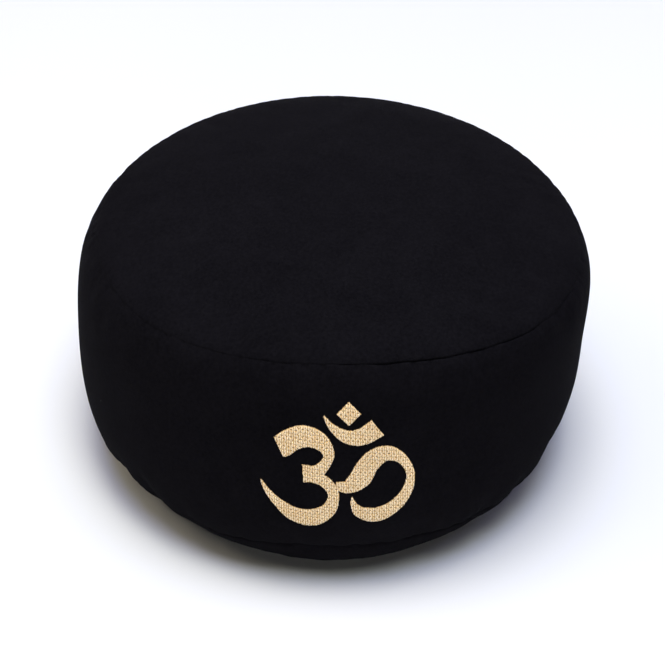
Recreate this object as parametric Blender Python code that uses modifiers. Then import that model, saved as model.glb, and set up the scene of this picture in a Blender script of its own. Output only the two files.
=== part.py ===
"""Round sitting cushion: one filled cloth solid.

A crowned top panel, an upright band that the filling pushes out into a belly, and a bottom
panel that lies flat on the ground, with the two seams drawn in where they meet. Metres, +Z up.
The origin is the middle of the resting face, and the front of the cushion faces -Y.
"""

import math

import bmesh
import bpy
from mathutils import Vector

# The round body
TOP_SEAM_RADIUS = 0.1518
TOP_SEAM_HEIGHT = 0.1580
CROWN_RISE = 0.0238
BAND_BULGE = 0.0108
BOTTOM_SEAM_RADIUS = 0.1558
BOTTOM_SEAM_HEIGHT = 0.0290
RESTING_RADIUS = 0.1308

# How each stretch of the side view rounds over; a higher power keeps it fuller to its edge
CROWN_POWER = 1.98
CROWN_ROUNDING = 0.72
SHOULDER_POWER = 4.5
FOOT_POWER = 3.2
UNDERSIDE_POWER = 1.60

# A lobe of the underside at the front: where it is, how wide, how much further in the cushion
# rests there, and how much fuller it is
FRONT_LOBE_AT = math.radians(272)
FRONT_LOBE_HALF_WIDTH = math.radians(18)
FRONT_LOBE_INWARD = 0.0104
FRONT_LOBE_FULLNESS = 1.57

# The seams: the crease is this deep and half this wide, square to the cloth on either side
SEAM_DEPTH = 0.0013
SEAM_HALF_WIDTH = 0.0032
SEAM_INNER_WIDTH = 0.0011
TOP_SEAM_FACES_UP = math.radians(44)
BOTTOM_SEAM_FACES_UP = math.radians(-27)

# The filling has settled unevenly: sideways shifts of the round body at three heights
TOP_SHIFT = Vector((0.0018, 0.0031))
BELLY_SHIFT = Vector((-0.0026, 0.0))
BOTTOM_SHIFT = Vector((-0.0022, -0.0034))

# Slow waves of the two seams round the cushion: how many crests there are, how far the top
# seam rises, how far it moves out, how far the bottom seam rises, and the azimuth in degrees of
# a crest of each
WAVES = (
    # crests, top_rise, crest_at, top_out, crest_at, bottom_rise, crest_at
    (1, 0.0025, 235, 0.0000, 0, 0.0052, 7),
    (2, 0.0026, 84, 0.0029, 149, 0.0030, 151),
    (3, 0.0024, 39, 0.0021, 92, 0.0054, 10),
    (4, 0.0009, 11, 0.0000, 0, 0.0005, 1),
    (5, 0.0000, 0, 0.0000, 0, 0.0010, 66),
)

# Gathers where the band is eased on to the bottom panel, most of them at the two front corners
GATHERS = (
    # azimuth, half_width in degrees, depth
    (198, 4.0, 0.0016),
    (213, 3.5, 0.0030),
    (224, 3.0, 0.0024),
    (236, 4.0, 0.0014),
    (262, 5.0, 0.0008),
    (291, 4.5, 0.0010),
    (308, 3.5, 0.0018),
    (319, 3.0, 0.0026),
    (331, 3.5, 0.0022),
    (347, 4.5, 0.0014),
    (12, 5.0, 0.0012),
    (38, 4.0, 0.0018),
    (61, 5.0, 0.0012),
    (88, 4.5, 0.0016),
    (117, 5.0, 0.0012),
    (143, 4.0, 0.0020),
    (171, 5.0, 0.0012),
)
GATHER_REACH = 0.018

# Where the bottom seam sags below its slow waves, or rides above them
SAGS = (
    # azimuth, half_width in degrees, depth
    (223, 8.0, -0.0018),
    (246, 8.0, 0.0024),
    (322, 16.0, 0.0040),
)

# How finely the solid is cut into faces
TURNS_ROUND = 96
CROWN_RINGS = 11
BAND_RINGS = 14
UNDERSIDE_RINGS = 5

CLOTH_COLOUR = (0.0078, 0.0072, 0.0100, 1.0)
CLOTH_ROUGHNESS = 0.92


def crown_point(share):
    """A point of the top panel's side view; share runs from 0 at the middle to 1 at the seam."""
    rise = CROWN_RISE * (1 - share**CROWN_POWER) ** CROWN_ROUNDING
    return share * TOP_SEAM_RADIUS, TOP_SEAM_HEIGHT + rise


def band_point(share):
    """A point of the band's side view; share runs from 0 at the top seam to 1 at the bottom."""
    power = SHOULDER_POWER if share < 0.5 else FOOT_POWER
    bulge = BAND_BULGE * (1 - abs(2 * share - 1) ** power)
    radius = TOP_SEAM_RADIUS + (BOTTOM_SEAM_RADIUS - TOP_SEAM_RADIUS) * share
    height = TOP_SEAM_HEIGHT + (BOTTOM_SEAM_HEIGHT - TOP_SEAM_HEIGHT) * share
    return radius + bulge, height


def underside_point(share):
    """A point of the bottom panel's side view; share runs from 0 at the seam to 1 at rest."""
    radius = BOTTOM_SEAM_RADIUS + (RESTING_RADIUS - BOTTOM_SEAM_RADIUS) * share
    return radius, BOTTOM_SEAM_HEIGHT * max(1 - share, 0.0) ** UNDERSIDE_POWER


def drawn_in(point, from_seam, faces_up):
    """The point moved into the cushion by what is left of the crease that far from its seam."""
    depth = SEAM_DEPTH * max(0.0, 1 - from_seam / SEAM_HALF_WIDTH) ** 2
    radius, height = point
    return radius - depth * math.cos(faces_up), height - depth * math.sin(faces_up)


def side_view():
    """The outer line of the cushion from the top of the crown down to the middle underneath."""
    band_length = TOP_SEAM_HEIGHT - BOTTOM_SEAM_HEIGHT
    underside_length = BOTTOM_SEAM_RADIUS - RESTING_RADIUS
    top, bottom = TOP_SEAM_FACES_UP, BOTTOM_SEAM_FACES_UP

    line = []
    lip = 1 - SEAM_HALF_WIDTH / TOP_SEAM_RADIUS
    for ring in range(CROWN_RINGS + 1):
        line.append(crown_point(lip * math.sin(ring / CROWN_RINGS * math.pi / 2)))
    inner = SEAM_INNER_WIDTH
    line.append(drawn_in(crown_point(1 - inner / TOP_SEAM_RADIUS), inner, top))
    line.append(drawn_in(crown_point(1), 0, top))

    line.append(drawn_in(band_point(inner / band_length), inner, top))
    lip = SEAM_HALF_WIDTH / band_length
    for ring in range(BAND_RINGS + 1):
        share = (1 - math.cos(ring / BAND_RINGS * math.pi)) / 2
        line.append(band_point(lip + (1 - 2 * lip) * share))
    line.append(drawn_in(band_point(1 - inner / band_length), inner, bottom))
    line.append(drawn_in(band_point(1), 0, bottom))

    line.append(drawn_in(underside_point(inner / underside_length), inner, bottom))
    lip = SEAM_HALF_WIDTH / underside_length
    for ring in range(UNDERSIDE_RINGS + 1):
        line.append(underside_point(lip + (1 - lip) * ring / UNDERSIDE_RINGS))
    line.append((0.0, 0.0))
    return line


def wave(azimuth, size_column):
    """What the slow waves add up to at one azimuth, for the size in that column of WAVES."""
    total = 0.0
    for row in WAVES:
        crests, size, crest_at = row[0], row[size_column], math.radians(row[size_column + 1])
        total += size * math.cos(crests * (azimuth - crest_at))
    return total


def lumps(rows, azimuth):
    """What the rows of GATHERS or SAGS add up to at one azimuth."""
    depth = 0.0
    for centre, half_width, full_depth in rows:
        away = math.remainder(azimuth - math.radians(centre), 2 * math.pi)
        depth += full_depth * math.exp(-((away / math.radians(half_width)) ** 2))
    return depth


def rolled_under(radius, azimuth, height):
    """A point below the bottom seam, let down to the ground sooner where the filling has pushed
    the underside out into a lobe at the front."""
    away = math.remainder(azimuth - FRONT_LOBE_AT, 2 * math.pi)
    lobe = math.exp(-((away / FRONT_LOBE_HALF_WIDTH) ** 2))
    off_ground = min(max(height / BOTTOM_SEAM_HEIGHT, 0.0), 1.0)
    inward = 1 - off_ground ** (1 / UNDERSIDE_POWER)
    from_middle = min(radius / RESTING_RADIUS, 1.0)
    radius -= FRONT_LOBE_INWARD * lobe * inward * from_middle
    return radius, height * off_ground ** (FRONT_LOBE_FULLNESS * lobe)


def settle(point):
    """Moves one point of the even, round body to where the uneven filling holds it."""
    radius, azimuth = math.hypot(point.x, point.y), math.atan2(point.y, point.x)
    radius, height = rolled_under(radius, azimuth, point.z)
    up_band = (height - BOTTOM_SEAM_HEIGHT) / (TOP_SEAM_HEIGHT - BOTTOM_SEAM_HEIGHT)
    up_band = min(max(up_band, 0.0), 1.0)
    out = min(radius / TOP_SEAM_RADIUS, 1.0) if height > TOP_SEAM_HEIGHT else 1.0
    off_ground = min(height / BOTTOM_SEAM_HEIGHT, 1.0)

    radius += wave(azimuth, 3) * up_band * out
    from_seam = abs(height - BOTTOM_SEAM_HEIGHT)
    gathered = lumps(GATHERS, azimuth) * math.exp(-((from_seam / GATHER_REACH) ** 2))
    radius -= gathered * off_ground
    height += wave(azimuth, 1) * up_band * out**2
    height += (wave(azimuth, 5) - lumps(SAGS, azimuth)) * (1 - up_band) * off_ground

    shift = BOTTOM_SHIFT.lerp(TOP_SHIFT, up_band) + BELLY_SHIFT * math.sin(math.pi * up_band)
    return Vector((
        radius * math.cos(azimuth) + shift.x,
        radius * math.sin(azimuth) + shift.y,
        height,
    ))


def turned_body(collection):
    """The even, round body: the side view turned once round the upright axis."""
    line = side_view()
    mesh = bpy.data.meshes.new("side_view")
    points = [(radius, 0.0, height) for radius, height in line]
    mesh.from_pydata(points, [(i, i + 1) for i in range(len(points) - 1)], [])
    profile = bpy.data.objects.new("side_view", mesh)
    collection.objects.link(profile)

    screw = profile.modifiers.new("turn", "SCREW")
    screw.axis = "Z"
    screw.angle = 2 * math.pi
    screw.steps = TURNS_ROUND
    screw.render_steps = TURNS_ROUND
    screw.use_merge_vertices = True
    screw.merge_threshold = 0.0001

    graph = bpy.context.evaluated_depsgraph_get()
    turned = bpy.data.meshes.new_from_object(profile.evaluated_get(graph))
    bpy.data.objects.remove(profile)
    return turned


def cloth_material():
    """Black cotton, very matt, with a faint cool cast."""
    material = bpy.data.materials.new("black_cotton")
    material.use_nodes = True
    shader = material.node_tree.nodes["Principled BSDF"]
    shader.inputs["Base Color"].default_value = CLOTH_COLOUR
    shader.inputs["Roughness"].default_value = CLOTH_ROUGHNESS
    shader.inputs["Metallic"].default_value = 0.0
    material.diffuse_color = CLOTH_COLOUR
    return material


def make_cushion(collection):
    """The whole filled cushion, with its box centred over the origin."""
    mesh = turned_body(collection)
    mesh.name = "cushion"
    body = bmesh.new()
    body.from_mesh(mesh)
    for vertex in body.verts:
        vertex.co = settle(vertex.co)
    xs = [vertex.co.x for vertex in body.verts]
    ys = [vertex.co.y for vertex in body.verts]
    middle = Vector(((min(xs) + max(xs)) / 2, (min(ys) + max(ys)) / 2, 0.0))
    bmesh.ops.translate(body, vec=-middle, verts=body.verts)
    body.to_mesh(mesh)
    body.free()

    mesh.shade_smooth()
    mesh.materials.clear()
    mesh.materials.append(cloth_material())
    cushion = bpy.data.objects.new("cushion", mesh)
    collection.objects.link(cushion)
    return cushion


for old in list(bpy.data.objects):
    bpy.data.objects.remove(old)
parts = bpy.data.collections.new("round_sitting_cushion")
bpy.context.scene.collection.children.link(parts)
make_cushion(parts)
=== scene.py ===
"""Looks of the round sitting cushion: its black cotton cover and the gold sign sewn on the band.

Metres, +Z up. The origin is the middle of the resting face, and the front faces -Y.
"""

import math
import random

import bmesh
import bpy
import numpy as np
from mathutils import Matrix, Vector
from mathutils.bvhtree import BVHTree


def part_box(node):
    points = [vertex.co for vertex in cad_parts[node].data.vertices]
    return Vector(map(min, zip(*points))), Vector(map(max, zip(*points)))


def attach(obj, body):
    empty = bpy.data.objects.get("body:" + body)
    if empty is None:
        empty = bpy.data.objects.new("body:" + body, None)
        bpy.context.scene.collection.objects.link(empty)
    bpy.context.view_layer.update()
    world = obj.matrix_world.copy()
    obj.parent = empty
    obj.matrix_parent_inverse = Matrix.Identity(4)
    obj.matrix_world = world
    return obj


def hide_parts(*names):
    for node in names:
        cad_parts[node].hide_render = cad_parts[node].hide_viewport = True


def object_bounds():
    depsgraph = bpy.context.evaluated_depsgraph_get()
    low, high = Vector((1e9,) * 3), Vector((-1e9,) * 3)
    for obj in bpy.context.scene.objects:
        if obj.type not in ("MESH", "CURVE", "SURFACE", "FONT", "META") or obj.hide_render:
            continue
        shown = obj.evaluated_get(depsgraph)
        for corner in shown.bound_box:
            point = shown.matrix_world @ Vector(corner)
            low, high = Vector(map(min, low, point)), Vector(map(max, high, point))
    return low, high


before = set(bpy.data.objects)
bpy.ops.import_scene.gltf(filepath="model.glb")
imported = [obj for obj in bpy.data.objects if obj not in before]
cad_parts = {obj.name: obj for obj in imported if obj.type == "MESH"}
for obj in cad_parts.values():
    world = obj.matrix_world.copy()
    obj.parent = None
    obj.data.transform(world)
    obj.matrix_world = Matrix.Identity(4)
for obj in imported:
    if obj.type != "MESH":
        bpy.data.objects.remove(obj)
cad_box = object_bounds()
scene = bpy.context.scene


# The camera looks down on the front of the cushion from about a metre away. A perspective fit of
# the cushion's outline and its two seams gave the angle, the distance and the lens.
CAMERA_ELEVATION = math.radians(39.675)
CAMERA_DISTANCE = 1.10
CAMERA_AIM = Vector((0.0014, 0.0, 0.06877))
CAMERA_LENS = 88.99
CAMERA_SENSOR = 36.0
CAMERA_NEAR = 0.02

camera_data = bpy.data.cameras.new("camera")
camera_data.lens = CAMERA_LENS
camera_data.sensor_width = CAMERA_SENSOR
camera_data.clip_start = CAMERA_NEAR
camera = bpy.data.objects.new("camera", camera_data)
looking = Vector((0.0, math.cos(CAMERA_ELEVATION), -math.sin(CAMERA_ELEVATION)))
camera.location = CAMERA_AIM - looking * CAMERA_DISTANCE
camera.rotation_euler = looking.to_track_quat("-Z", "Y").to_euler()
scene.collection.objects.link(camera)
scene.camera = camera


# A round white table in a white studio, lit from straight overhead by a bright lamp and a broad
# cool softbox round it, and from the sides, the front right and low in front by weaker lamps. The
# table is lit past white, so that only the shadow close to the cushion shows on it. The studio's
# walls show behind the table and in the gloss of the thread, and throw no light of their own.
TABLE_RADIUS = 1.05
TABLE_SIDES = 96
TABLE_COLOUR = (0.86, 0.86, 0.86, 1.0)
TABLE_ROUGHNESS = 0.85
TABLE_GLOSS = 0.1
WALL_COLOUR = (1.0, 1.0, 1.0, 1.0)
LAMP_DISTANCE = 3.0
LIT_POINT = Vector((0.0, 0.0, 0.08))
LAMPS = (
    # name, azimuth and elevation in degrees, width, light on the table, colour
    ("overhead_lamp", 270, 89.9, 1.0, 0.225, (1.30, 1.19, 0.40)),
    ("overhead_softbox", 270, 89.9, 2.1, 0.87, (0.81, 0.88, 1.32)),
    ("left_softbox", 180, 55, 1.6, 0.145, (1.15, 1.03, 0.80)),
    ("right_softbox", 0, 55, 1.6, 0.06, (0.85, 0.85, 1.35)),
    ("front_right_lamp", 300, 72, 0.9, 0.15, (1.02, 1.08, 0.90)),
    ("low_front_lamp", 265, 9, 1.0, 0.022, (1.0, 0.98, 0.95)),
)

scene.view_settings.view_transform = "Standard"
world = bpy.data.worlds.new("white_studio")
world.use_nodes = True
background = world.node_tree.nodes["Background"]
background.inputs["Color"].default_value = WALL_COLOUR
sight = world.node_tree.nodes.new("ShaderNodeLightPath")
either = world.node_tree.nodes.new("ShaderNodeMath")
either.operation = "MAXIMUM"
world.node_tree.links.new(sight.outputs["Is Camera Ray"], either.inputs[0])
world.node_tree.links.new(sight.outputs["Is Glossy Ray"], either.inputs[1])
world.node_tree.links.new(either.outputs[0], background.inputs["Strength"])
scene.world = world

for name, azimuth, elevation, width, light, colour in LAMPS:
    turn, tilt = math.radians(azimuth), math.radians(elevation)
    level = math.cos(tilt)
    away = Vector((math.cos(turn) * level, math.sin(turn) * level, math.sin(tilt)))
    lamp_data = bpy.data.lights.new(name, "AREA")
    lamp_data.shape = "DISK"
    lamp_data.size = width
    lamp_data.energy = light * (math.pi * LAMP_DISTANCE) ** 2 / math.sin(tilt)
    lamp_data.color = colour
    lamp = bpy.data.objects.new(name, lamp_data)
    lamp.location = LIT_POINT + away * LAMP_DISTANCE
    lamp.rotation_euler = (-away).to_track_quat("-Z", "Y").to_euler()
    lamp.visible_camera = False
    scene.collection.objects.link(lamp)

table_shape = bmesh.new()
bmesh.ops.create_circle(table_shape, cap_ends=True, segments=TABLE_SIDES, radius=TABLE_RADIUS)
table_mesh = bpy.data.meshes.new("table")
table_shape.to_mesh(table_mesh)
table_shape.free()
table_paint = bpy.data.materials.new("white_table")
table_paint.use_nodes = True
table_shader = table_paint.node_tree.nodes["Principled BSDF"]
table_shader.inputs["Base Color"].default_value = TABLE_COLOUR
table_shader.inputs["Roughness"].default_value = TABLE_ROUGHNESS
table_shader.inputs["Specular IOR Level"].default_value = TABLE_GLOSS
table_mesh.materials.append(table_paint)
table = bpy.data.objects.new("table", table_mesh)
scene.collection.objects.link(table)


# The cover is a round top panel, an upright band and a round bottom panel of black cotton, sewn
# together inside out and turned, so that each seam is a narrow valley. The filling pushes the band
# into a belly and crowns the top, and the cloth puckers wherever it was eased into a seam.
TOP_SEAM_RADIUS = 0.1518
TOP_SEAM_HEIGHT = 0.1580
CROWN_RISE = 0.0238
BAND_BULGE = 0.0108
BOTTOM_SEAM_RADIUS = 0.1558
BOTTOM_SEAM_HEIGHT = 0.0290
RESTING_RADIUS = 0.1308
CROWN_POWER = 1.98
CROWN_ROUNDING = 0.72
SHOULDER_POWER = 4.5
FOOT_POWER = 3.2
UNDERSIDE_POWER = 1.60
FRONT_LOBE_AT = math.radians(272)
FRONT_LOBE_HALF_WIDTH = math.radians(18)
FRONT_LOBE_INWARD = 0.0104
FRONT_LOBE_FULLNESS = 1.57
TOP_SHIFT = Vector((0.0018, 0.0031))
BELLY_SHIFT = Vector((-0.0026, 0.0))
BOTTOM_SHIFT = Vector((-0.0022, -0.0034))
WAVES = (
    # crests, top seam up, crest at, top seam out, crest at, bottom seam up, crest at: metres
    # and degrees
    (1, 0.0025, 235, 0.0000, 0, 0.0052, 7),
    (2, 0.0026, 84, 0.0029, 149, 0.0030, 151),
    (3, 0.0024, 39, 0.0021, 92, 0.0054, 10),
    (4, 0.0009, 11, 0.0000, 0, 0.0005, 1),
    (5, 0.0000, 0, 0.0000, 0, 0.0010, 66),
)
# the columns of WAVES that hold a size
TOP_RISE, TOP_OUT, BOTTOM_RISE = 1, 3, 5
GATHERS = (
    # azimuth and half width in degrees, depth
    (198, 4.0, 0.0016),
    (213, 3.5, 0.0030),
    (224, 3.0, 0.0024),
    (236, 4.0, 0.0014),
    (262, 5.0, 0.0008),
    (291, 4.5, 0.0010),
    (308, 3.5, 0.0018),
    (319, 3.0, 0.0026),
    (331, 3.5, 0.0022),
    (347, 4.5, 0.0014),
    (12, 5.0, 0.0012),
    (38, 4.0, 0.0018),
    (61, 5.0, 0.0012),
    (88, 4.5, 0.0016),
    (117, 5.0, 0.0012),
    (143, 4.0, 0.0020),
    (171, 5.0, 0.0012),
)
GATHER_REACH = 0.018
SAGS = (
    # azimuth and half width in degrees, depth
    (223, 8.0, -0.0018),
    (246, 8.0, 0.0024),
    (322, 16.0, 0.0040),
)

TURNS_ROUND = 720
TURNED_SHARE = 8
CROWN_RINGS = 30
BAND_RINGS = 40
UNDERSIDE_RINGS = 9
SEAM_RINGS = (0.0003, 0.0007, 0.0012, 0.0018, 0.0027, 0.0040, 0.0056, 0.0076)
RING_CROWDING = 0.9
RESTING_RINGS = (0.8, 0.55, 0.3, 0.1, 0.0)
MERGE_WITHIN = 0.00001

VOXEL = 0.004
START_SMALLER = 0.985
LAST_FRAME = 20
FILLED_CLOTH = {
    "quality": 6,
    "mass": 0.25,
    "tension_stiffness": 12.0,
    "compression_stiffness": 12.0,
    "shear_stiffness": 4.0,
    "bending_stiffness": 0.35,
    "use_pressure": True,
    "uniform_pressure_force": 4.0,
    "shrink_min": -0.013,
}
SMOOTHINGS = 3
CAST_REACH = 0.02
MOST_MOVE = 0.005
PIN_REACH = 0.0045
FOOT_HEIGHT = 0.006

GROOVE_WIDTH = 0.00050
ROLL_DEPTH = 0.0005
ROLL_WIDTH = 0.0030
SEAMS = (
    # seam, groove depth, share of it on the far side, where it is deepest in degrees, how many
    # puckers, their depth, their reach
    ("top", 0.0018, 0.20, 298, 104, 0.00260, 0.0046),
    ("bottom", 0.0024, 0.50, 285, 88, 0.00145, 0.0085),
)
SEAM_WANDER = 0.00016
WANDER_CRESTS = (11, 19, 31, 47)
DEEPEST_SPREAD = 0.62
UNEVENNESS = 0.13
UNEVEN_CRESTS = (5, 9, 14, 23, 37)
FIRST_PUCKER_WITHIN = math.radians(2)
PUCKER_HALF_WIDTHS = (0.35, 0.75)
PUCKER_DEPTHS = (0.2, 1.0)
PUCKER_GAPS = (0.55, 1.45)
PUCKER_SHARE_OFF_BAND = 0.40
PUCKERS_EVERYWHERE = 0.4
PUCKER_START = 0.0009
PUCKER_SEED = 11


def crown_point(share):
    """A point of the top panel's side view; share runs from 0 at the middle to 1 at the seam."""
    rise = CROWN_RISE * (1 - share**CROWN_POWER) ** CROWN_ROUNDING
    return share * TOP_SEAM_RADIUS, TOP_SEAM_HEIGHT + rise


def band_point(share):
    """A point of the band's side view; share runs from 0 at the top seam to 1 at the bottom."""
    power = SHOULDER_POWER if share < 0.5 else FOOT_POWER
    bulge = BAND_BULGE * (1 - abs(2 * share - 1) ** power)
    radius = TOP_SEAM_RADIUS + (BOTTOM_SEAM_RADIUS - TOP_SEAM_RADIUS) * share
    height = TOP_SEAM_HEIGHT + (BOTTOM_SEAM_HEIGHT - TOP_SEAM_HEIGHT) * share
    return radius + bulge, height


def underside_point(share):
    """A point of the bottom panel's side view; share runs from 0 at the seam to 1 at rest."""
    radius = BOTTOM_SEAM_RADIUS + (RESTING_RADIUS - BOTTOM_SEAM_RADIUS) * share
    return radius, BOTTOM_SEAM_HEIGHT * max(1 - share, 0.0) ** UNDERSIDE_POWER


def wave(azimuth, size_column):
    """What the slow waves add up to at one azimuth, for the size in that column of WAVES. The
    column after it says where that wave's crest is."""
    return sum(
        row[size_column] * math.cos(row[0] * (azimuth - math.radians(row[size_column + 1])))
        for row in WAVES
    )


def lumps(rows, azimuth):
    """What the rows of GATHERS or SAGS add up to at one azimuth."""
    depth = 0.0
    for centre, half_width, full_depth in rows:
        away = math.remainder(azimuth - math.radians(centre), 2 * math.pi)
        depth += full_depth * math.exp(-((away / math.radians(half_width)) ** 2))
    return depth


def rolled_under(radius, azimuth, height):
    """A point below the bottom seam, let down to the ground sooner where the filling has pushed
    the underside out into a lobe at the front."""
    away = math.remainder(azimuth - FRONT_LOBE_AT, 2 * math.pi)
    lobe = math.exp(-((away / FRONT_LOBE_HALF_WIDTH) ** 2))
    off_ground = min(max(height / BOTTOM_SEAM_HEIGHT, 0.0), 1.0)
    inward = 1 - off_ground ** (1 / UNDERSIDE_POWER)
    from_middle = min(radius / RESTING_RADIUS, 1.0)
    radius -= FRONT_LOBE_INWARD * lobe * inward * from_middle
    return radius, height * off_ground ** (FRONT_LOBE_FULLNESS * lobe)


def settle(point):
    """Moves one point of the even, round body to where the uneven filling holds it."""
    radius, azimuth = math.hypot(point.x, point.y), math.atan2(point.y, point.x)
    radius, height = rolled_under(radius, azimuth, point.z)
    up_band = (height - BOTTOM_SEAM_HEIGHT) / (TOP_SEAM_HEIGHT - BOTTOM_SEAM_HEIGHT)
    up_band = min(max(up_band, 0.0), 1.0)
    out = min(radius / TOP_SEAM_RADIUS, 1.0) if height > TOP_SEAM_HEIGHT else 1.0
    off_ground = min(height / BOTTOM_SEAM_HEIGHT, 1.0)

    radius += wave(azimuth, TOP_OUT) * up_band * out
    from_seam = abs(height - BOTTOM_SEAM_HEIGHT)
    gathered = lumps(GATHERS, azimuth) * math.exp(-((from_seam / GATHER_REACH) ** 2))
    radius -= gathered * off_ground
    height += wave(azimuth, TOP_RISE) * up_band * out**2
    sagging = wave(azimuth, BOTTOM_RISE) - lumps(SAGS, azimuth)
    height += sagging * (1 - up_band) * off_ground

    shift = BOTTOM_SHIFT.lerp(TOP_SHIFT, up_band) + BELLY_SHIFT * math.sin(math.pi * up_band)
    return Vector((
        radius * math.cos(azimuth) + shift.x,
        radius * math.sin(azimuth) + shift.y,
        height,
    ))


def side_view():
    """The cover's outer line from the middle of the crown to the middle underneath, with close
    rings beside both seams, and which of its points lie on the seams."""
    band_length = TOP_SEAM_HEIGHT - BOTTOM_SEAM_HEIGHT
    underside_length = math.dist(underside_point(0), underside_point(1))
    line = []
    lip = 1 - SEAM_RINGS[-1] / TOP_SEAM_RADIUS
    for ring in range(CROWN_RINGS + 1):
        outward = math.sin(ring / CROWN_RINGS * math.pi / 2) ** RING_CROWDING
        line.append(crown_point(lip * outward))
    line += [crown_point(1 - away / TOP_SEAM_RADIUS) for away in reversed(SEAM_RINGS[:-1])]
    line.append(crown_point(1))
    top_seam = len(line) - 1
    line += [band_point(away / band_length) for away in SEAM_RINGS]
    lip = SEAM_RINGS[-1] / band_length
    for ring in range(1, BAND_RINGS):
        line.append(band_point(lip + (1 - 2 * lip) * ring / BAND_RINGS))
    line += [band_point(1 - away / band_length) for away in reversed(SEAM_RINGS)]
    line.append(band_point(1))
    bottom_seam = len(line) - 1
    line += [underside_point(away / underside_length) for away in SEAM_RINGS]
    lip = SEAM_RINGS[-1] / underside_length
    for ring in range(1, UNDERSIDE_RINGS + 1):
        line.append(underside_point(lip + (1 - lip) * ring / UNDERSIDE_RINGS))
    line += [(RESTING_RADIUS * share, 0.0) for share in RESTING_RINGS]
    return line, top_seam, bottom_seam


def turned_cover():
    """The even cover, turned once round the upright axis, settled, and centred on the solid.
    Each point keeps how far down the side view it is. Also where both seams are on that way
    down, and how far the cover was moved."""
    line, top_seam, bottom_seam = side_view()
    down = [0.0]
    for before, after in zip(line, line[1:]):
        down.append(down[-1] + math.dist(before, after))
    cloth = bmesh.new()
    down_layer = cloth.verts.layers.float.new("down")
    corners = []
    for (radius, height), way in zip(line, down):
        corner = cloth.verts.new((radius, 0.0, height))
        corner[down_layer] = way
        corners.append(corner)
    edges = [cloth.edges.new(pair) for pair in zip(corners, corners[1:])]
    turned = 2 * math.pi / TURNED_SHARE
    bmesh.ops.spin(
        cloth, geom=corners + edges, cent=(0, 0, 0), axis=(0, 0, 1), dvec=(0, 0, 0),
        angle=turned, steps=TURNS_ROUND // TURNED_SHARE,
    )
    while turned < 2 * math.pi:
        copied = bmesh.ops.duplicate(cloth, geom=[*cloth.verts, *cloth.edges, *cloth.faces])
        points = [part for part in copied["geom"] if isinstance(part, bmesh.types.BMVert)]
        turn = Matrix.Rotation(turned, 3, "Z")
        bmesh.ops.rotate(cloth, cent=(0, 0, 0), matrix=turn, verts=points)
        turned *= 2
    bmesh.ops.remove_doubles(cloth, verts=cloth.verts, dist=MERGE_WITHIN)
    for vertex in cloth.verts:
        vertex.co = settle(vertex.co)
    low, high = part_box("cushion")
    xs = [vertex.co.x for vertex in cloth.verts]
    ys = [vertex.co.y for vertex in cloth.verts]
    off = Vector((
        (low.x + high.x - min(xs) - max(xs)) / 2, (low.y + high.y - min(ys) - max(ys)) / 2, 0.0,
    ))
    bmesh.ops.translate(cloth, vec=off, verts=cloth.verts)
    bmesh.ops.recalc_face_normals(cloth, faces=cloth.faces)
    return cloth, down[top_seam], down[bottom_seam], off


def filled_form(middle):
    """The solid, remeshed and blown up as cloth round its filling, before and after."""
    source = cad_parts["cushion"].data.copy()
    solid = bmesh.new()
    solid.from_mesh(source)
    bmesh.ops.remove_doubles(solid, verts=solid.verts, dist=MERGE_WITHIN)
    centre = Vector((0, 0, (cad_box[0][2] + cad_box[1][2]) / 2))
    for vertex in solid.verts:
        vertex.co = centre + (vertex.co - centre) * START_SMALLER
    solid.to_mesh(source)
    solid.free()
    form = bpy.data.objects.new("filled_form", source)
    scene.collection.objects.link(form)
    remesh = form.modifiers.new("remesh", "REMESH")
    remesh.mode = "VOXEL"
    remesh.voxel_size = VOXEL
    graph = bpy.context.evaluated_depsgraph_get()
    even = bpy.data.meshes.new_from_object(form.evaluated_get(graph))
    form.modifiers.clear()
    form.data = even
    before = bpy.data.meshes.new_from_object(form)

    pinned = form.vertex_groups.new(name="pinned")
    for vertex in even.vertices:
        place = centre + (vertex.co - centre) / START_SMALLER - middle
        azimuth = math.atan2(place.y, place.x)
        top = TOP_SEAM_HEIGHT + wave(azimuth, TOP_RISE)
        bottom = BOTTOM_SEAM_HEIGHT + wave(azimuth, BOTTOM_RISE) - lumps(SAGS, azimuth)
        outer = math.hypot(place.x, place.y) > TOP_SEAM_RADIUS - 2 * PIN_REACH
        at_seam = outer and min(abs(place.z - top), abs(place.z - bottom)) < PIN_REACH
        if at_seam or place.z < PIN_REACH:
            pinned.add([vertex.index], 1.0, "REPLACE")
    cloth = form.modifiers.new("cloth", "CLOTH")
    for name, value in FILLED_CLOTH.items():
        setattr(cloth.settings, name, value)
    cloth.settings.vertex_group_mass = "pinned"
    cloth.settings.effector_weights.gravity = 0.0
    cloth.point_cache.frame_start = 1
    cloth.point_cache.frame_end = LAST_FRAME
    for number in range(1, LAST_FRAME + 1):
        scene.frame_set(number)
    graph = bpy.context.evaluated_depsgraph_get()
    after = bpy.data.meshes.new_from_object(form.evaluated_get(graph))
    bpy.data.objects.remove(form)
    scene.frame_set(1)
    return before, after


def smooth_tree(mesh):
    """A lookup tree of the form, evened out and divided once so that no voxel step shows."""
    form = bmesh.new()
    form.from_mesh(mesh)
    for _ in range(SMOOTHINGS):
        bmesh.ops.smooth_vert(
            form, verts=form.verts, factor=0.5, use_axis_x=True, use_axis_y=True, use_axis_z=True,
        )
    bmesh.ops.subdivide_edges(form, edges=form.edges, cuts=1, smooth=1.0, use_grid_fill=True)
    return BVHTree.FromBMesh(form)


def cast_depth(tree, point, normal):
    """How far out along its normal the form lies from a point of the cover."""
    place, _, _, away = tree.ray_cast(point + normal * CAST_REACH, -normal, 2 * CAST_REACH)
    return 0.0 if place is None else CAST_REACH - away


def above_foot(vertex):
    """From 0 on the ground to 1 above the foot, so that the resting face stays flat."""
    return min(max(vertex.co.z / FOOT_HEIGHT, 0.0), 1.0)


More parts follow.
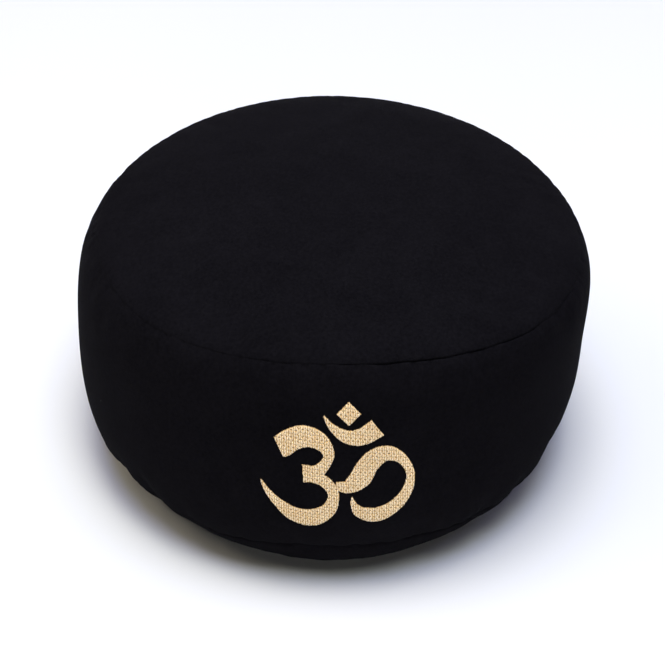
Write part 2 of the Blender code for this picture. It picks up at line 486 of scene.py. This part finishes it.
def swell_cover(cloth, middle):
    """Moves the cover's points by what the filling did to the cloth, but keeps each ring's mean
    place, so that the cushion keeps its size. No point moves further than MOST_MOVE."""
    before, after = (smooth_tree(mesh) for mesh in filled_form(middle))
    cloth.normal_update()
    down_layer = cloth.verts.layers.float["down"]
    rings = {}
    for vertex in cloth.verts:
        move = cast_depth(after, vertex.co, vertex.normal)
        move -= cast_depth(before, vertex.co, vertex.normal)
        rings.setdefault(round(vertex[down_layer], 6), []).append((vertex, move))
    places = []
    for members in rings.values():
        mean = sum(move for _, move in members) / len(members)
        for vertex, move in members:
            move = max(-MOST_MOVE, min(MOST_MOVE, move - mean))
            places.append((vertex, vertex.co + vertex.normal * move * above_foot(vertex)))
    for vertex, place in places:
        vertex.co = place


def seam_strength(azimuths, deepest_at, least):
    """How strongly a seam is drawn in at each azimuth, with a slow unevenness along it."""
    draw = random.Random(PUCKER_SEED + deepest_at)
    away = np.remainder(azimuths - math.radians(deepest_at) + math.pi, 2 * math.pi) - math.pi
    strength = least + (1 - least) * np.exp(-((away / DEEPEST_SPREAD) ** 2))
    for crests in UNEVEN_CRESTS:
        strength *= 1 + UNEVENNESS * np.sin(crests * azimuths + draw.uniform(0, 2 * math.pi))
    return strength


def seam_wander(azimuths):
    """How far the stitching strays up or down from an even line at each azimuth."""
    draw = random.Random(PUCKER_SEED)
    total = np.zeros_like(azimuths)
    for crests in WANDER_CRESTS:
        total += SEAM_WANDER * np.sin(crests * azimuths + draw.uniform(0, 2 * math.pi))
    return total


def pucker_depths(azimuths, count, depth):
    """The puckers of one seam, each a small soft dent: how deep the cloth is at each azimuth."""
    draw = random.Random(PUCKER_SEED + count)
    total = np.zeros_like(azimuths)
    azimuth = draw.uniform(0, FIRST_PUCKER_WITHIN)
    while azimuth < 2 * math.pi:
        half_width = math.pi / count * draw.uniform(*PUCKER_HALF_WIDTHS)
        away = np.remainder(azimuths - azimuth + math.pi, 2 * math.pi) - math.pi
        total += depth * draw.uniform(*PUCKER_DEPTHS) * np.exp(-((away / half_width) ** 2))
        azimuth += 2 * math.pi / count * draw.uniform(*PUCKER_GAPS)
    return total


def sew_seams(cloth, top_seam, bottom_seam):
    """Draws the cloth in at both seams: a narrow groove between two soft rolls, and puckers."""
    cloth.normal_update()
    down_layer = cloth.verts.layers.float["down"]
    points = list(cloth.verts)
    azimuths = np.array([math.atan2(vertex.co.y, vertex.co.x) for vertex in points])
    down = np.array([vertex[down_layer] for vertex in points])
    depth = np.zeros_like(down)
    for row, at in zip(SEAMS, (top_seam, bottom_seam)):
        seam, groove, least, deepest_at, count, size, reach = row
        away = down - at - seam_wander(azimuths)
        near = np.abs(away)
        strength = seam_strength(azimuths, deepest_at, least)
        depth += groove * strength * np.exp(-near / GROOVE_WIDTH)
        depth += ROLL_DEPTH * np.exp(-((near / ROLL_WIDTH) ** 2))
        on_band = away > 0 if seam == "top" else away < 0
        share = np.where(on_band, 1.0, PUCKER_SHARE_OFF_BAND)
        rise = 1 - np.exp(-near / PUCKER_START)
        puckers = pucker_depths(azimuths, count, size) * (PUCKERS_EVERYWHERE + strength)
        depth += puckers * share * rise * np.exp(-near / reach)
    for vertex, drawn_in in zip(points, depth):
        vertex.co -= vertex.normal * drawn_in * above_foot(vertex)


def lay_weave(cloth, top_seam, bottom_seam):
    """The cloth's own flat coordinates in metres: the panels flat, the band unrolled."""
    uv_layer = cloth.loops.layers.uv.new("cloth")
    down_layer = cloth.verts.layers.float["down"]
    for face in cloth.faces:
        middle = face.calc_center_median()
        down = sum(loop.vert[down_layer] for loop in face.loops) / len(face.loops)
        turn = math.atan2(middle.y, middle.x)
        for loop in face.loops:
            place = loop.vert.co
            if top_seam < down < bottom_seam:
                away = math.remainder(math.atan2(place.y, place.x) - turn, 2 * math.pi)
                loop[uv_layer].uv = ((turn + away) * BOTTOM_SEAM_RADIUS, -loop.vert[down_layer])
            else:
                loop[uv_layer].uv = (place.x, place.y)


class Socket:
    """One output in a material's nodes. Arithmetic on it adds the Math nodes."""

    def __init__(self, finish, source):
        self.finish = finish
        self.source = source

    def maths(self, operation, *values):
        return self.finish.node("ShaderNodeMath", {"operation": operation}, dict(enumerate(values)))

    def __add__(self, other):
        return self.maths("ADD", self, other)

    def __sub__(self, other):
        return self.maths("SUBTRACT", self, other)

    def __rsub__(self, other):
        return self.maths("SUBTRACT", other, self)

    def __mul__(self, other):
        return self.maths("MULTIPLY", self, other)

    def __gt__(self, other):
        return self.maths("GREATER_THAN", self, other)

    def __abs__(self):
        return self.maths("ABSOLUTE", self)

    __radd__ = __add__
    __rmul__ = __mul__

    def sine(self):
        return self.maths("SINE", self)

    def largest(self, other):
        return self.maths("MAXIMUM", self, other)


class Finish:
    """A material that is being built."""

    def __init__(self, name):
        self.material = bpy.data.materials.new(name)
        self.material.use_nodes = True
        self.tree = self.material.node_tree
        self.shader = self.tree.nodes["Principled BSDF"]

    def fill(self, node, sockets):
        for name, value in sockets.items():
            if isinstance(value, Socket):
                self.tree.links.new(value.source, node.inputs[name])
            else:
                node.inputs[name].default_value = value

    def node(self, kind, settings, sockets, output=0):
        """Adds a node: its settings first, then the values and links of its sockets."""
        node = self.tree.nodes.new(kind)
        for name, value in settings.items():
            setattr(node, name, value)
        self.fill(node, sockets)
        return Socket(self, node.outputs[output])

    def noise(self, place, scale, detail, roughness):
        sockets = {"Vector": place, "Scale": scale, "Detail": detail, "Roughness": roughness}
        return self.node("ShaderNodeTexNoise", {"noise_dimensions": "3D"}, sockets)

    def mix(self, share, first, second):
        """One colour or the other, by share. The node's colour sockets are numbers 6 and 7."""
        sockets = {0: share, 6: first, 7: second}
        return self.node("ShaderNodeMix", {"data_type": "RGBA"}, sockets, 2)


YARN = 0.00048
YARN_DIP = 0.45
# scale, detail and roughness of the noise behind each unevenness
SLUBS = (900.0, 3.0, 0.6)
RUBBED_PLACES = (17.0, 4.0, 0.62)
UNEVEN_DYE = (60.0, 3.0, 0.55)
DUST = (480.0, 2.0, 0.6)
BLACK = (0.0035, 0.0032, 0.0041, 1.0)
WORN_BLACK = (0.0106, 0.0098, 0.0119, 1.0)
WEAR_START = 0.37
WEAR_CONTRAST = 2.3
WEAR_ON_YARN = 0.4
LINT = (0.07, 0.07, 0.075, 1.0)
LINT_CELLS = 70.0
LINT_SIZE = 0.045
LINT_ABOVE = 0.992
WEAVE_RELIEF = 0.00028
WEAVE_STRENGTH = 0.7
COTTON_ROUGHNESS = 0.88
COTTON_GLOSS = 0.011
COTTON_SHEEN = 0.002
SHEEN_ROUGHNESS = 0.45
SHEEN_TINT = (0.80, 0.85, 1.0, 1.0)


def black_cotton():
    """Plain-woven black cotton: yarns over and under, thicker and thinner, a faint cool cast,
    slightly greyer where it has rubbed, and a few specks of lint."""
    finish = Finish("black_cotton")
    flat = finish.node("ShaderNodeUVMap", {"uv_map": "cloth"}, {})
    place = finish.node("ShaderNodeTexCoord", {}, {}, "Object")
    warp_at = finish.node("ShaderNodeSeparateXYZ", {}, {0: flat}, 0) * (math.pi / YARN)
    weft_at = finish.node("ShaderNodeSeparateXYZ", {}, {0: flat}, 1) * (math.pi / YARN)
    over = warp_at.sine() * weft_at.sine() > 0.0
    warp = abs(warp_at.sine()) * (1.0 - YARN_DIP + YARN_DIP * over)
    weft = abs(weft_at.sine()) * (1.0 - YARN_DIP * over)
    weave = warp.largest(weft)

    slubs = finish.noise(flat, *SLUBS)
    rubbed = finish.noise(place, *RUBBED_PLACES)
    patches = finish.noise(place, *UNEVEN_DYE)
    dusty = finish.noise(place, *DUST)
    worn = rubbed * 0.22 + patches * 0.16 + dusty * 0.40 + slubs * 0.22 - WEAR_START
    worn = worn * WEAR_CONTRAST * (1.0 - WEAR_ON_YARN + WEAR_ON_YARN * weave)
    colour = finish.mix(worn, BLACK, WORN_BLACK)
    cells = {"Vector": place, "Scale": LINT_CELLS}
    from_speck = finish.node("ShaderNodeTexVoronoi", {"feature": "F1"}, cells)
    cell_draw = finish.node("ShaderNodeTexVoronoi", {"feature": "F1"}, cells, "Color")
    picked = finish.node("ShaderNodeSeparateColor", {}, {0: cell_draw}) > LINT_ABOVE
    lint = picked * (1.0 - (from_speck > LINT_SIZE))
    colour = finish.mix(lint, colour, LINT)

    height = weave * 0.5 + slubs * 0.5 + dusty * 0.5 + patches * 0.3
    bump = finish.node("ShaderNodeBump", {}, {
        "Strength": WEAVE_STRENGTH,
        "Distance": WEAVE_RELIEF,
        "Height": height,
    })
    finish.fill(finish.shader, {
        "Base Color": colour,
        "Roughness": COTTON_ROUGHNESS + 0.08 * slubs,
        "Normal": bump,
        "Specular IOR Level": COTTON_GLOSS,
        "Sheen Weight": COTTON_SHEEN,
        "Sheen Roughness": SHEEN_ROUGHNESS,
        "Sheen Tint": SHEEN_TINT,
    })
    return finish.material


cloth, top_seam, bottom_seam, middle = turned_cover()
swell_cover(cloth, middle)
sew_seams(cloth, top_seam, bottom_seam)
lay_weave(cloth, top_seam, bottom_seam)
cloth.verts.layers.float.remove(cloth.verts.layers.float["down"])
cover_mesh = bpy.data.meshes.new("cotton_cover")
cloth.to_mesh(cover_mesh)
cover_tree = BVHTree.FromBMesh(cloth)
cloth.free()
cover_mesh.shade_smooth()
cover_mesh.materials.append(black_cotton())
cover = bpy.data.objects.new("cotton_cover", cover_mesh)
scene.collection.objects.link(cover)
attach(cover, "root")
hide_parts("cushion")


# The sign on the front of the band is machine embroidery in pale gold rayon: upright rows of
# stitches, their needle points staggered, packed side by side over the shape of five pen strokes.
# It is the old syllable sign of the yoga tradition, drawn here with strokes of its own.
SIGN_MIDDLE = (0.0046, 0.1006)
BAND_RADIUS = 0.1635
CAST_FROM = 0.25
FRONT = math.radians(270)
MM = 0.001
STROKES = {
    # across, up, pen width, all in millimetres from the middle of the sign
    "upper_bowl": (
        (-35.0, 13.4, 14.5), (-33.0, 14.4, 15.0), (-27.8, 19.4, 15.0), (-19.8, 22.8, 15.4),
        (-12.0, 20.6, 12.8), (-6.8, 14.7, 8.4), (-5.6, 8.2, 6.4), (-9.4, 1.0, 7.8),
        (-14.5, -3.2, 12.0), (-20.6, -3.8, 13.2),
    ),
    "lower_bowl": (
        (-15.0, -6.0, 8.0), (-8.4, -8.8, 8.0), (-3.4, -15.7, 6.8), (-3.0, -23.5, 7.0),
        (-6.6, -31.9, 10.5), (-15.4, -37.7, 14.0), (-25.6, -35.6, 11.6), (-34.4, -28.4, 7.0),
        (-41.2, -20.3, 4.0), (-45.6, -12.0, 0.9),
    ),
    "tail": (
        (-1.5, -11.9, 5.2), (5.8, -13.2, 10.3), (12.5, -8.3, 13.6), (16.9, 0.9, 13.3),
        (22.3, 7.4, 13.2), (29.4, 9.2, 11.2), (37.8, 3.6, 6.6), (42.8, -7.8, 5.1),
        (41.1, -20.1, 6.9), (34.0, -31.0, 9.7), (23.3, -37.0, 12.2), (13.8, -33.9, 9.1),
        (9.6, -28.0, 4.3), (8.0, -21.3, 0.8),
    ),
    "crescent": (
        (-8.2, 37.4, 1.0), (-4.1, 30.9, 4.0), (2.4, 24.9, 7.9), (9.6, 22.3, 11.1),
        (16.2, 23.8, 12.6), (20.7, 26.6, 13.3), (23.5, 28.4, 13.6),
    ),
    "dot": ((-0.8, 38.6, 0.1), (6.5, 38.6, 15.8), (13.8, 38.6, 0.1)),
}
# The sizes of the thread are in millimetres. Every third row is a valley of short, low stitches, and
# the two rows between are a ridge of longer ones. The valley rows' low tone is painted shade in the
# valley. The spread round each tone is the stitch's own random tone.
STEPS_PER_ROW = 10
THREAD_PITCH = 0.467
STITCH_LENGTH = 4.9
VALLEY_STITCH = 2.7
ROWS_IN_RIDGE = 3
RIDGE_LIFTS = (0.27, 0.50, 0.56)
LIFT_SPREAD = 0.04
# the valley row's low tone is painted shade in the valley
RIDGE_TONES_AND_SHADE = (0.00, 0.78, 1.00)
TONE_SPREAD = 0.42
ROW_STAGGER = 0.483
STAGGER_SPREAD = 0.16
EDGE_WANDER = 0.24
SHORTEST_STITCH = 0.9
JOIN_WITHIN = 0.05
THREAD_SEED = 5
THREAD_HALF_WIDTH = 0.29
WIDTH_AT_END = 0.80
THREAD_ROUNDING = 0.12
THREAD_LEAST = 0.02
STITCH_LEAN = 0.05
ROOT_DEPTH = 0.12
ARCH_REACH = 0.28
# how far from each end of a stitch the painted shade at its needle holes reaches
SHADED_END_REACH = 0.40
STITCH_SIDES = 6
STITCH_CUTS = 6
CUTS_CROWDING = 0.65
EDGE_OUT = 0.5


def pen_line(rows, straight):
    """A smooth run of places and pen widths through the rows of one stroke, or the rows alone
    where the stroke is straight."""
    rows = [np.array(row, float) for row in rows]
    if straight:
        return rows
    rows = [2 * rows[0] - rows[1], *rows, 2 * rows[-1] - rows[-2]]
    line = []
    for before, start, end, after in zip(rows, rows[1:], rows[2:], rows[3:]):
        for step in range(STEPS_PER_ROW):
            t = step / STEPS_PER_ROW
            line.append(0.5 * (
                2 * start + (end - before) * t + (2 * before - 5 * start + 4 * end - after) * t**2
                + (3 * start - before - 3 * end + after) * t**3
            ))
    line.append(rows[-2])
    return line


def stroke_outline(rows, straight):
    """The closed outline of a stroke, half the pen's width to either side of its line."""
    line = pen_line(rows, straight)
    left, right = [], []
    for index, (across, up, width) in enumerate(line):
        before, after = line[max(index - 1, 0)], line[min(index + 1, len(line) - 1)]
        along = Vector((after[0] - before[0], after[1] - before[1])).normalized()
        left.append((across - along.y * width / 2, up + along.x * width / 2))
        right.append((across + along.y * width / 2, up - along.x * width / 2))
    return left + right[::-1]


def column_spans(outlines, across):
    """The stretches of one upright row of thread that lie inside any of the outlines."""
    spans = []
    for outline in outlines:
        crossings = []
        for (x0, y0), (x1, y1) in zip(outline, outline[1:] + outline[:1]):
            if (x0 <= across) != (x1 <= across):
                crossings.append((y0 + (y1 - y0) * (across - x0) / (x1 - x0), x1 > x0))
        crossings.sort()
        winding = 0
        for height, rightward in crossings:
            if winding == 0:
                start = height
            winding += 1 if rightward else -1
            if winding == 0:
                spans.append((start, height))
    spans.sort()
    joined = []
    for low, high in spans:
        if joined and low <= joined[-1][1] + JOIN_WITHIN:
            joined[-1] = (joined[-1][0], max(high, joined[-1][1]))
        else:
            joined.append((low, high))
    return joined


def stitch_rows(outlines):
    """Every stitch of the sign: how far across it is, its lower and upper end, its lift, and its
    tone, which holds painted shade in the valley rows.
    """
    draw = random.Random(THREAD_SEED)
    leftmost = min(x for outline in outlines for x, _ in outline)
    rightmost = max(x for outline in outlines for x, _ in outline)
    stitches = []
    for row in range(int((rightmost - leftmost) / THREAD_PITCH) + 1):
        across = leftmost + (row + 0.5) * THREAD_PITCH
        place = row % ROWS_IN_RIDGE
        length = VALLEY_STITCH if place == 0 else STITCH_LENGTH
        offset = (row * ROW_STAGGER + STAGGER_SPREAD * draw.random()) * length
        for low, high in column_spans(outlines, across):
            low += draw.uniform(-1, 1) * EDGE_WANDER
            high += draw.uniform(-1, 1) * EDGE_WANDER
            if high - low < SHORTEST_STITCH / 2:
                continue
            ends = [low]
            point = math.ceil((low - offset) / length) * length + offset
            while point < high - SHORTEST_STITCH:
                if point > ends[-1] + SHORTEST_STITCH:
                    ends.append(point)
                point += length
            ends.append(high)
            for bottom, top in zip(ends, ends[1:]):
                lift = RIDGE_LIFTS[place] + draw.uniform(-LIFT_SPREAD, LIFT_SPREAD)
                # the valley row's low tone is painted shade; the spread is each stitch's own random
                # tone
                tone = RIDGE_TONES_AND_SHADE[place] + draw.uniform(-1, 1) * TONE_SPREAD
                stitches.append((across, bottom, top, lift, tone))
    return stitches


def on_band(across, up):
    """A place on the band's cloth, in millimetres from the middle of the sign, and the outward
    and sideways directions there."""
    azimuth = FRONT + (SIGN_MIDDLE[0] + across * MM) / BAND_RADIUS
    outward = Vector((math.cos(azimuth), math.sin(azimuth), 0.0))
    start = outward * CAST_FROM + Vector((0.0, 0.0, SIGN_MIDDLE[1] + up * MM))
    place, normal, _, _ = cover_tree.ray_cast(start, -outward)
    return place, normal, Vector((-outward.y, outward.x, 0.0))


def stitch_shape():
    """One straight stitch, an upright six-sided thread from 0 to 1, cut across along its length,
    its outer side gently rounded between two sharp edges."""
    thread = bmesh.new()
    bmesh.ops.create_cone(
        thread, cap_ends=True, segments=STITCH_SIDES, radius1=1.0, radius2=1.0, depth=1.0,
    )
    bmesh.ops.translate(thread, vec=(0, 0, 0.5), verts=thread.verts)
    upright = [edge for edge in thread.edges if abs(edge.verts[0].co.z - edge.verts[1].co.z) > 0.5]
    bmesh.ops.subdivide_edges(thread, edges=upright, cuts=STITCH_CUTS, use_grid_fill=True)
    for edge in thread.edges:
        beside_crest = all(abs(end.co.x - EDGE_OUT) < EDGE_OUT / 2 for end in edge.verts)
        edge.smooth = not beside_crest
    mesh = bpy.data.meshes.new("stitch")
    thread.to_mesh(mesh)
    thread.free()
    return mesh


def sew_sign(outlines):
    """All the stitches in one mesh, each bent over the band with its ends drawn into the cloth. The
    tone attribute says how light each is, with painted shade in the valley rows, and the attribute
    stitch_end says how near its needle holes each point is, where the material paints shade."""
    shape = stitch_shape()
    draw = random.Random(THREAD_SEED + 1)
    sign = bmesh.new()
    tone_layer = sign.verts.layers.float.new("stitch_tone_and_shade")
    end_layer = sign.verts.layers.float.new("stitch_end")
    for across, bottom, top, lift, tone in stitch_rows(outlines):
        old = len(sign.verts)
        sign.from_mesh(shape)
        sign.verts.ensure_lookup_table()
        lean = draw.uniform(-STITCH_LEAN, STITCH_LEAN)
        rings = {}
        for vertex in sign.verts[old:]:
            share = round(vertex.co.z, 4)
            if share not in rings:
                crowded = 0.5 - 0.5 * math.cos(share * math.pi)
                run = share + (crowded - share) * CUTS_CROWDING
                leaning = across + lean * (share - 0.5)
                rings[share] = run, *on_band(leaning, bottom + (top - bottom) * run)
            run, place, normal, sideways = rings[share]
            from_end = min(run, 1 - run) * (top - bottom)
            arch = 1 - math.exp(-from_end / ARCH_REACH)
            out, aside, _ = vertex.co
            height = -ROOT_DEPTH + (lift + ROOT_DEPTH) * arch
            if out > 0:
                above = height + THREAD_ROUNDING * out
            else:
                above = min(-ROOT_DEPTH * (1 + arch), height - THREAD_LEAST)
            half = THREAD_HALF_WIDTH * (WIDTH_AT_END + (1 - WIDTH_AT_END) * arch)
            vertex.co = place + (normal * above + sideways * aside * half) * MM
            vertex[tone_layer] = tone
            # nearness to the needle holes, where the material mixes in painted shade
            vertex[end_layer] = max(0.0, 1 - from_end / SHADED_END_REACH)
    bmesh.ops.recalc_face_normals(sign, faces=sign.faces)
    mesh = bpy.data.meshes.new("sewn_sign")
    sign.to_mesh(mesh)
    sign.free()
    return mesh


PALE_GOLD = (1.00, 0.85, 0.59, 1.0)
DEEP_GOLD = (0.76, 0.51, 0.22, 1.0)
# the dark colour and its share below are painted shade where the thread dives into a needle hole
HOLE_PAINTED_SHADE = (0.26, 0.12, 0.02, 1.0)
HOLE_SHADE_SHARE = 0.90
HOLE_DULLNESS = 0.7
# scale, detail and roughness of the noise behind each unevenness
FIBRES = (2600.0, 2.0, 0.6)
DYE_PATCHES = (260.0, 2.0, 0.5)
THREAD_ROUGHNESS = 0.26
FIBRE_RELIEF = 0.0001
FIBRE_STRENGTH = 0.35
THREAD_GLOSS = 0.1


def gold_rayon():
    """Pale gold thread with a metallic gloss, each stitch a little lighter or darker, with painted
    shade in the valley rows, and darkened with painted shade where it dives into a needle hole."""
    finish = Finish("gold_rayon")
    place = finish.node("ShaderNodeTexCoord", {}, {}, "Object")
    tone = finish.node("ShaderNodeAttribute", {"attribute_name": "stitch_tone_and_shade"}, {}, "Fac")
    end = finish.node("ShaderNodeAttribute", {"attribute_name": "stitch_end"}, {}, "Fac")
    fibres = finish.noise(place, *FIBRES)
    patches = finish.noise(place, *DYE_PATCHES)
    # tone carries painted shade in the valley rows as well as each stitch's own tone
    share = 0.1 + 0.9 * tone + 0.6 * (patches - 0.5) + 0.5 * (fibres - 0.5)
    # the gold is mixed towards painted shade near the needle holes
    colour = finish.mix(end * HOLE_SHADE_SHARE, finish.mix(share, DEEP_GOLD, PALE_GOLD), HOLE_PAINTED_SHADE)
    bump = finish.node("ShaderNodeBump", {}, {
        "Strength": FIBRE_STRENGTH,
        "Distance": FIBRE_RELIEF,
        "Height": fibres,
    })
    finish.fill(finish.shader, {
        "Base Color": colour,
        "Metallic": 1.0 - HOLE_DULLNESS * end,
        "Roughness": THREAD_ROUGHNESS - 0.10 * tone + 0.14 * fibres,
        "Normal": bump,
        "Specular IOR Level": THREAD_GLOSS,
    })
    return finish.material


sign_mesh = sew_sign([stroke_outline(rows, name == "dot") for name, rows in STROKES.items()])
sign_mesh.shade_smooth()
sign_mesh.materials.append(gold_rayon())
sewn_sign = bpy.data.objects.new("sewn_sign", sign_mesh)
scene.collection.objects.link(sewn_sign)
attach(sewn_sign, "root")
